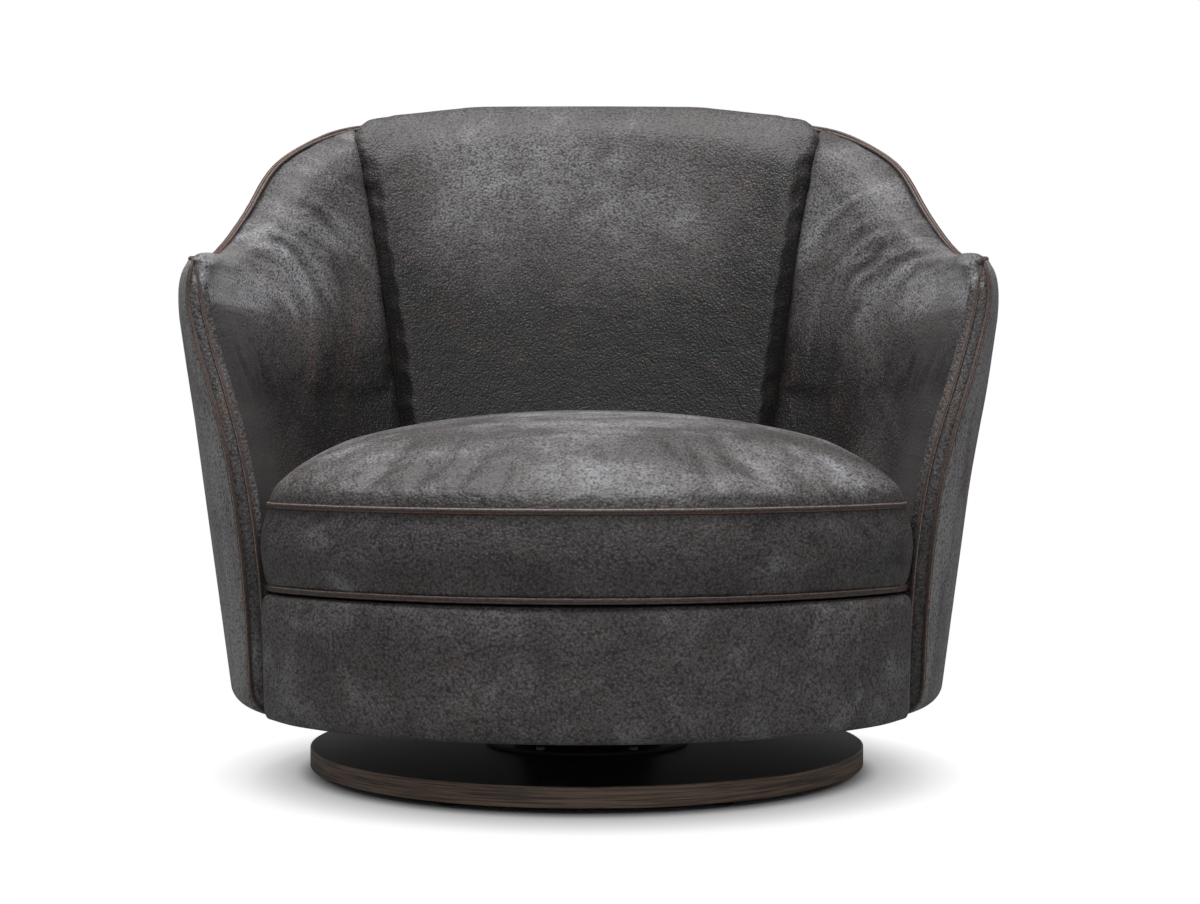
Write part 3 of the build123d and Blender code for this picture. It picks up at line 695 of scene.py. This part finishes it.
# Finishes
seat_hide = leather("waxed_hide_seat", streak=(0.45, 1.0, 1.0), shift=(0.31, 0.12, 0.0), brown=0.45)
pillow_hide = leather("waxed_hide_pillow", shift=(1.7, 0.4, 0.2), brown=0.4, mottle=0.6, gathered=True)
arm_hide = leather("waxed_hide_arms", shift=(0.9, 2.4, 0.7), brown=0.6, mottle=0.9, flowing=True)
panel_hide = leather("waxed_hide_front", shift=(3.1, 1.4, 0.9), brown=0.5, mottle=0.75)
shell_hide = leather("waxed_hide_shell", streak=(1, 1, 0.3), shift=(5.3, 0.6, 1.9), worn_and_painted_light=0.98, brown=1.6,
                     mottle=0.8)
trim_hide = leather("waxed_hide_trim", streak=(1, 1, 0.25), shift=(2.2, 5.1, 0.3), worn_and_painted_light=0.46, brown=1.4)
welt_hide = piping_leather("waxed_hide_piping")
edge_veneer = stained_wood("smoked_oak_edge", "#5d4d43", "#a38c7b", 1.6, (0.02, 0.02, 1.0))
# The plinth's top: a darker stain than its edge, and painted shade under the body
disc_wood_and_shade = stained_wood("smoked_oak_top_and_shade", "#15100e", "#31261f", 3.0, (0.03, 1.0, 1.0))
birch_ply = plywood("raw_birch_ply")
zinc = zinc_plate("zinc_plated_steel")
black_steel = powder_coat("black_powder_coat")
black_nylon = nylon("black_nylon", "#161616", "#222222")
cage_nylon = nylon("natural_nylon", "#c4bda9", "#ddd7c6")
jute = woven("jute_webbing", "#5e5139", "#9c8862", 2.5)
deck_cloth = woven("black_deck_cloth", "#0d0d0d", "#232323", 1.2)
dust_cloth = woven("black_dust_cloth", "#080808", "#1a1a1a", 1.0)

slot_finish = {
    "plinth_wood": disc_wood_and_shade, "plinth_edge": edge_veneer, "glide_nylon": black_nylon,
    "black_steel": black_steel, "zinc_steel": zinc, "cage_nylon": cage_nylon, "frame_wood": birch_ply,
    "webbing": jute, "dust_cloth": dust_cloth, "deck_cloth": deck_cloth, "leather": shell_hide,
    "leather_trim": trim_hide, "leather_pad": arm_hide,
}
for part in frame["record"]["subparts"]:
    solid = frame["nodes"][part["node"]]
    solid.data.materials.clear()
    solid.data.materials.append(slot_finish[part["material_slot"]])

# Camera at the photograph's place
lens_data = bpy.data.cameras.new("camera")
lens_data.sensor_width = 36
lens_data.lens = focal_pixels / photo_width * lens_data.sensor_width
camera = bpy.data.objects.new("camera", lens_data)
bpy.context.scene.collection.objects.link(camera)
camera.location = (0, -camera_distance * MM, camera_height * MM)
tilt = math.atan((photo_height / 2 - horizon_row) / focal_pixels)
swing = math.atan((photo_width / 2 - axis_column) / focal_pixels)
camera.rotation_euler = (math.pi / 2 - tilt, 0, -swing)
bpy.context.scene.camera = camera

# Stage: a white floor that keeps the shadow under and close round the plinth, and a white surround
stage_white, stage_tree = blank("stage_white")
eye = node(stage_tree, "ShaderNodeLightPath").outputs["Is Camera Ray"]
spot = node(stage_tree, "ShaderNodeTexCoord").outputs["Object"]
away = node(stage_tree, "ShaderNodeVectorMath", {0: spot}, operation="LENGTH").outputs["Value"]
paper = blended(stage_tree, eye, "#a0a0a0", "#f3f4f7")
matt = node(stage_tree, "ShaderNodeBsdfDiffuse", {"Color": paper})
glow = node(stage_tree, "ShaderNodeEmission", {"Color": (1, 1, 1, 1), "Strength": 1.0})
lit = node(stage_tree, "ShaderNodeMapRange", {"Value": away, "From Min": 0.298, "From Max": 0.405,
                                              "To Min": 0.28})
beside = times(stage_tree, lit.outputs["Result"], spread(stage_tree, away, 0.285, 0.320))
floor_mix = node(stage_tree, "ShaderNodeMixShader", {0: times(stage_tree, beside, eye), 1: matt.outputs[0],
                                                     2: glow.outputs[0]})
output(stage_tree, floor_mix.outputs[0])
floor_shape = bmesh.new()
bmesh.ops.create_grid(floor_shape, x_segments=1, y_segments=1, size=30)
floor_mesh = bpy.data.meshes.new("floor")
floor_shape.to_mesh(floor_mesh)
floor_shape.free()
floor = linked("floor", floor_mesh, stage_white)

world = bpy.data.worlds.new("studio")
bpy.context.scene.world = world
world.use_nodes = True
world.node_tree.nodes.clear()
seen = node(world.node_tree, "ShaderNodeLightPath").outputs["Is Camera Ray"]
strength = node(world.node_tree, "ShaderNodeMapRange", {"Value": seen, "To Min": 0.24, "To Max": 1.0})
sky = node(world.node_tree, "ShaderNodeBackground", {"Color": (1, 1, 1, 1),
                                                     "Strength": strength.outputs["Result"]})
node(world.node_tree, "ShaderNodeOutputWorld", {"Surface": sky.outputs[0]})


def softbox(name, place, aim, size, power):
    """A rectangular studio lamp that faces a point."""
    data = bpy.data.lights.new(name, "AREA")
    data.shape = "RECTANGLE"
    data.size, data.size_y = size
    data.energy = power
    lamp = bpy.data.objects.new(name, data)
    lamp.location = place
    lamp.rotation_euler = (Vector(aim) - Vector(place)).to_track_quat("-Z", "Y").to_euler()
    bpy.context.scene.collection.objects.link(lamp)


softbox("overhead", (-0.15, -0.35, 2.6), (0, 0, 0.4), (2.0, 1.7), 58)
softbox("front_fill", (0.3, -3.4, 1.9), (0, 0, 0.4), (2.4, 1.2), 16)


def drawn_in(points):
    """Points of the barrel's sides, moved to where the padding bellies and draws in.

    What lies deep below the outside stays where it is.
    """
    levels = np.arange(draw_levels[0], draw_levels[-1])
    depths = np.interp(levels, draw_levels, draw_depths)
    window = np.hanning(2 * draw_blur + 1)
    depths[draw_blur:-draw_blur] = np.convolve(depths, window / window.sum(), "valid")
    x, y, z = (points / MM).T
    across = half_width + side_flare * (z - flare_level)
    ahead = np.where(y < plan_centre_y, front_depth, back_depth + back_flare * (z - flare_level))
    below = (1 - np.hypot(x / across, (y - plan_centre_y) / ahead)) * across
    share = ramp(y, draw_back_y, draw_front_y) * ramp(np.abs(x), *draw_aside) * (1 - ramp(below, *draw_below))
    depth = np.interp(z, levels, depths) - left_fullness * (x > 0) * ramp(z, *left_fullness_levels)
    moved = points.copy()
    moved[:, 0] -= np.sign(x) * depth * share * MM
    return moved


def sideways(point, _):
    """The barrel's outward direction at a point of its edge."""
    return Vector((point.x, point.y - plan_centre_y * MM, 0)).normalized()


def upward(_, __):
    """The cushion's outward direction at its welts."""
    return Vector((0, 0, 1))


# Welts: two piped cords round the barrel's edge, and one round each edge of the cushion
edge_routes = [drawn_in(route) for route in evened([both_halves(edge_route(0, edge_welt_radius)),
                                                    both_halves(edge_route(strip_width, rim_strip_width))])]
for name, route in zip(("outer_welt", "inner_welt"), edge_routes):
    welt = piping(f"{name}_piping", route, edge_welt_radius * MM, welt_hide, sideways)
    finished(welt, "seat_body", [name])

for name, level in (("cushion_top_welt", top_welt_level), ("cushion_bottom_welt", bottom_welt_level)):
    loop = cushion_outline(3.5, level)
    welt = piping(f"{name}_piping", loop, cushion_welt_radius * MM, welt_hide, upward, closed=True)
    finished(welt, "loose_cushion", [name])


def boxing_strip(outer, inner):
    """A crowned band between the two welts, whose inner edge tucks under the padding."""
    ahead = np.gradient(outer, axis=0)
    across = inner - outer
    width = np.linalg.norm(across, axis=1, keepdims=True)
    across /= width
    out = np.cross(ahead, across)
    out /= np.linalg.norm(out, axis=1, keepdims=True)
    tucked = 1 + strip_tuck * MM / width
    work = bmesh.new()
    rows = []
    for share, rise in strip_section + ((tucked, strip_tuck_rise),):
        row = [work.verts.new(p) for p in outer + across * width * share + out * rise * MM]
        rows.append([work.edges.new(pair) for pair in zip(row, row[1:])])
    for first, second in zip(rows, rows[1:]):
        bmesh.ops.bridge_loops(work, edges=first + second)
    work.faces.ensure_lookup_table()
    work.normal_update()
    middle = work.faces[0].calc_center_median()
    station = int(np.argmin(np.linalg.norm(outer - np.array(middle), axis=1)))
    if work.faces[0].normal.dot(Vector(out[station])) < 0:
        bmesh.ops.reverse_faces(work, faces=work.faces)
    mesh = bpy.data.meshes.new("edge_strip_hide")
    work.to_mesh(mesh)
    work.free()
    strip = linked("edge_strip_hide", mesh, trim_hide)
    wall = strip.modifiers.new("Solidify", "SOLIDIFY")
    wall.thickness = strip_thickness * MM
    wall.offset = -1
    baked(strip)
    finished(strip, "seat_body", ["edge_strip"])


boxing_strip(*edge_routes)


def cut_across(piece, normal, levels):
    """Adds edges across the piece at some levels, so that it can bend there."""
    work = bmesh.new()
    work.from_mesh(piece.data)
    for level in levels:
        bmesh.ops.bisect_plane(work, geom=work.verts[:] + work.edges[:] + work.faces[:], dist=0.001 * MM,
                               plane_co=[c * level * MM for c in normal], plane_no=normal)
    bmesh.ops.triangulate(work, faces=work.faces)
    work.to_mesh(piece.data)
    work.free()


def over_rim(points):
    """How far each point lies above the rim's line, in millimetres."""
    rim = np.array(rim_line, float)
    return points[:, 2] / MM - np.interp(points[:, 1] / MM, rim[:, 0], rim[:, 1])


# Outer arms: the CAD's covers, eased to the belly of the padding
for name in ("outer_arm_left", "outer_arm_right"):
    cover = merged_copy(name, f"{name}_hide", shell_hide)
    # The cover is pulled up under the welt
    points = places(cover)
    points[:, 2] += 2 * MM * ramp(over_rim(points), -12, -4)
    put(cover, points)
    cut_across(cover, (0, 0, 1), range(350, 580, 5))
    cut_across(cover, (0, 1, 0), range(draw_front_y, draw_back_y + 1, 10))
    put(cover, drawn_in(places(cover)))
    cover.data.set_sharp_from_angle(angle=math.radians(35))
    finished(cover, "seat_body", [name])


# Padded pieces

def near(route, points, full, none):
    """1 within full millimetres of a route, falling to 0 at none."""
    stations = stations_of(route)
    gaps = np.array([stations.find(p)[2] for p in points]) / MM
    return ramp(gaps, none, full)


def marked(piece, name, values):
    """Stores a value at each of the piece's points, for its material."""
    piece.data.attributes.new(name, "FLOAT", "POINT").data.foreach_set("value", np.clip(values, -0.5, 1))


def creased(piece, lines, facing, width):
    """Presses soft creases into the side of a piece that faces one way, with a low ridge beside each.

    Each line has a depth and its points, as x and z seen from the front, and fades out at its ends.
    Returns how far each of the piece's points lies in a crease, below 0, or on a ridge, above 0.
    """
    points = places(piece)
    outward = normals(piece)
    flat = points[:, (0, 2)] / MM
    front = ramp(outward @ np.array(facing, float), 0.2, 0.6)
    lift = np.zeros(len(points))
    for depth, line in lines:
        route = smooth_line(line, step=3.0)
        gaps = np.linalg.norm(flat[:, None, :] - route[None, :, :], axis=2)
        nearest = gaps.argmin(axis=1)
        gap = gaps.min(axis=1) / width
        fade = np.sin(math.pi * (nearest + 0.5) / len(route)) ** 0.7
        lift += depth * fade * (0.5 * np.exp(-((gap - 1.9) / 0.9) ** 2) - np.exp(-gap * gap))
    lift *= front
    put(piece, points + outward * (lift * MM)[:, None])
    return lift


def crowned(points):
    """The cushion's points, with those over its top welt set on a smooth dome."""
    outline = cushion_outline(0, 0)
    middle_y = (cushion_front_y + cushion_back_y) / 2 * MM
    bearing = np.arctan2(outline[:, 1] - middle_y, outline[:, 0])
    order = np.argsort(bearing)
    reach = np.hypot(outline[:, 0], outline[:, 1] - middle_y)[order]
    x, y = points[:, 0], points[:, 1] - middle_y
    share = np.hypot(x, y) / np.interp(np.arctan2(y, x), bearing[order], reach, period=2 * math.pi)
    dome = (top_welt_level + crown_rise * np.clip(1 - share * share, 0, 1) ** crown_roundness) * MM
    moved = points.copy()
    over = (points[:, 2] > (top_welt_level + 4) * MM) & (share < 0.985)
    moved[over, 2] = dome[over]
    return moved


def seat_cushion():
    """The loose cushion: a dome over a boxed edge, with a few creases where the seams pull."""
    cushion = merged_copy("seat_cushion", "seat_cushion_leather", seat_hide)
    remeshed(cushion, 6)
    put(cushion, crowned(places(cushion)))
    eased(cushion, 3)
    seams = [cushion_outline(4.5, level) for level in (top_welt_level, bottom_welt_level)]

    def held(points):
        grip = np.maximum(near(seams[0], points, 5, 16), near(seams[1], points, 5, 14))
        return np.maximum(grip, points[:, 2] < (bottom_welt_level - 2) * MM)

    stuffed(cushion, 4, 7, held, slack=0.012)
    subdivided(cushion)
    creased(cushion, (
        (1.5, ((6, 293), (12, 282), (13, 268))), (1.5, ((22, 293), (19, 280), (20, 264))),
        (1.2, ((33, 292), (28, 284), (26, 275))), (1.5, ((238, 293), (254, 281), (272, 258))),
        (1.3, ((252, 293), (268, 284), (288, 268))), (1.5, ((-236, 293), (-252, 284), (-272, 270))),
        (1.2, ((-196, 292), (-214, 285), (-232, 274))), (1.0, ((-120, 226), (-96, 230), (-70, 224))),
        (1.0, ((140, 224), (170, 231), (200, 226))),
    ), (0, -1, 0), 4.5)
    points = places(cushion) / MM
    # The crown is paler than the boxing below it: rubbed by sitting, and painted light on the top
    top = ramp(points[:, 2], top_welt_level - 2, top_welt_level + 26)
    marked(cushion, "wear_and_painted_light", 0.42 + 0.24 * top)
    finished(cushion, "loose_cushion", ["seat_cushion"])


def back_pillow():
    """The padded back, stuffed fuller than the wings, and paler on top: rubbed, and painted light."""
    pillow = merged_copy("back_pillow", "back_pillow_leather", pillow_hide)
    remeshed(pillow, 6)
    eased(pillow, 7)
    raised(pillow, lambda point: 4.2)
    stuffed(pillow, 3, 5, lambda points: points[:, 2] < 0.25)
    subdivided(pillow)
    points = places(pillow)
    aside, level = np.abs(points[:, 0]) / MM, points[:, 2] / MM
    # Its top falls away towards the wings
    points[:, 2] -= 10 * MM * ramp(aside, 120, 275) * ramp(level, 650, 745)
    put(pillow, points)
    from_seam = aside - np.interp(level, pillow_seam_levels, pillow_seam_x)
    # Painted shade along its seams, more widely on the sitter's left, and low down; paler higher up, rubbed
    # and with painted light, then painted shade again at the very top
    dark_width = np.where(points[:, 0] > 0, 175, 95)
    at_top = ramp(level, 690, 745)
    edge = ramp(from_seam / dark_width, -1, -0.06) * (1 - at_top)
    wear_and_painted_light = 1.05 * ramp(level, 430, 630) * (1 - 0.6 * edge) - 0.18 * at_top - 0.38
    marked(pillow, "wear_and_painted_light", wear_and_painted_light)
    pull = ramp(from_seam, -24, -4) * ramp(level, 560, 610) * (1 - ramp(level, 705, 725))
    marked(pillow, "seam", pull)
    finished(pillow, "seat_body", ["back_pillow"])


def front_panel():
    """The panel below the cushion: thin padding on a board, fuller low down and away from its ends."""

    def swell(point):
        return 2.4 * float(ramp(point[2], 0.205, 0.175) * (1 - 0.7 * ramp(abs(point[0]), 0.28, 0.32)))

    panel = merged_copy("front_panel", "front_panel_leather", panel_hide)
    remeshed(panel, 5)
    eased(panel, 2)
    raised(panel, swell)
    subdivided(panel)
    marked(panel, "wear_and_painted_light", np.full(len(panel.data.vertices), 0.55))
    finished(panel, "seat_body", ["front_panel"])


pad_seam = evened([both_halves(edge_route(strip_width, strip_width))])[0]


def spilled(points):
    """The points of an arm's padding, with those at its rim rolled out over the boxing strip."""
    share = near(pad_seam, points, 8, 28) * ramp(over_rim(points), -7, 0)
    share *= ramp(points[:, 2] / MM, *rim_strip_levels)
    share *= 1 - ramp(points[:, 1] / MM, *rim_strip_end_y)
    outward = points * (1, 1, 0) - np.array((0, plan_centre_y * MM, 0))
    outward /= np.linalg.norm(outward, axis=1, keepdims=True)
    return points + outward * (share * (strip_width - rim_strip_width) * MM)[:, None]


def faces_room(face):
    """True for a face of an arm's padding that looks into the seat."""
    middle = face.calc_center_median()
    inward = Vector((-middle.x, min(plan_centre_y * MM - middle.y, 0), 0)).normalized()
    return face.normal.dot(inward) > 0.4


def arm_pad(side, creases):
    """The padded inside of an arm, with its creases, rubbed pale where hands rest, and with painted light and
    shade.

    The CAD's inner face is thickened to a wall, and joined to the padding before both are remeshed.
    """
    pad = merged_copy(f"arm_pad_{side}", f"arm_pad_{side}_leather", arm_hide)
    lining = merged_copy(f"arm_pad_{side}", f"lining_{side}", arm_hide)
    work = bmesh.new()
    work.from_mesh(lining.data)
    bmesh.ops.delete(work, geom=[f for f in work.faces if not faces_room(f)], context="FACES")
    work.to_mesh(lining.data)
    work.free()
    wall = lining.modifiers.new("Solidify", "SOLIDIFY")
    wall.thickness = 16 * MM
    wall.offset = -1
    baked(lining)
    work = bmesh.new()
    work.from_mesh(pad.data)
    work.from_mesh(lining.data)
    work.to_mesh(pad.data)
    work.free()
    bpy.data.objects.remove(lining)
    remeshed(pad, 6)
    eased(pad, 8)
    raised(pad, lambda point: 2.5)

    def held(points):
        grip = near(pad_seam, points, 8, 30)
        return np.maximum(grip, np.clip((420 - points[:, 2] / MM) / 60, 0, 1) * 0.85)

    stuffed(pad, 2, 4, held)
    eased(pad, 16, lambda point: 0.445 < point.z < 0.532 and abs(point.x) < 0.378)
    subdivided(pad)
    put(pad, spilled(places(pad)))
    way = 1 if side == "left" else -1
    lift = creased(pad, [(depth, [(way * x, z) for x, z in line]) for depth, line in creases],
                   (-0.7 * way, -0.6, 0.5), 5.0)
    put(pad, drawn_in(places(pad)))
    points = places(pad) / MM
    aside, level = np.abs(points[:, 0]), points[:, 2]
    # Paler on top, rubbed and with painted light, and at the front corner, rubbed and with a painted
    # highlight; a little darker above the rim; painted shade low down, towards the pillow and along the welt
    wear_and_painted_light = 0.12 + 0.66 * ramp(level, 420, 535) - 0.12 * ramp(level, 540, 600)
    wear_and_painted_light -= 0.3 * ramp(aside, 318, 280) * (1 - ramp(level, 545, 600))
    highlight_x = (aside - corner_highlight_patch[0]) / corner_highlight_patch_size[0]
    highlight_z = (level - corner_highlight_patch[1]) / corner_highlight_patch_size[1]
    wear_and_painted_light += 0.6 * np.exp(-highlight_x ** 2 - highlight_z ** 2)
    wear_and_painted_light -= 0.45 * near(edge_routes[1], places(pad), 3, 9)
    # The creases' ridges are painted paler and their valleys darker: painted light and shade
    marked(pad, "wear_and_painted_light", wear_and_painted_light + 0.13 * lift)
    # The hide's streaks run round the arm's front corner, then straight down
    over = np.maximum(level - flow_centre[1], 0)
    inward = flow_centre[0] - aside
    along = np.where(over > 0, np.arctan2(over, inward) * flow_radius, level - flow_centre[1])
    flow = np.column_stack((np.hypot(inward, over), along / 4, np.full(len(points), way * 500.0))) * MM
    pad.data.attributes.new("flow", "FLOAT_VECTOR", "POINT").data.foreach_set("vector", flow.ravel())
    finished(pad, "seat_body", [f"arm_pad_{side}"])


seat_cushion()
back_pillow()
front_panel()
arm_pad("left", (
    (1.3, ((401, 568), (384, 568), (369, 565), (356, 557), (344, 547), (336, 533))),
    (0.7, ((387, 601), (364, 602), (343, 601), (324, 596), (308, 582), (295, 563))),
    (1.3, ((357, 583), (338, 574), (323, 557), (307, 547), (298, 530), (289, 506))),
    (0.8, ((335, 563), (318, 552), (305, 540), (299, 528))),
    (1.3, ((316, 517), (305, 499), (296, 476))),
    (0.9, ((387, 551), (376, 547), (359, 536), (350, 523))),
    (0.6, ((340, 633), (319, 629), (299, 619), (282, 597), (271, 573))),
))
arm_pad("right", (
    (1.7, ((400, 574), (376, 582), (356, 582), (342, 577), (332, 565), (321, 549), (313, 532), (304, 514),
           (295, 496), (283, 480))),
    (0.9, ((400, 566), (388, 568), (372, 564), (359, 559), (345, 549), (335, 536))),
    (0.7, ((386, 600), (377, 603), (358, 604), (342, 594), (327, 587))),
    (1.2, ((302, 571), (290, 548), (279, 519), (267, 495))),
    (0.9, ((340, 529), (330, 516), (323, 498), (318, 481))),
    (0.9, ((300, 535), (284, 501), (272, 471))),
    (0.6, ((345, 633), (323, 625), (303, 607), (286, 584))),
))

bpy.context.scene.view_settings.view_transform = "Standard"
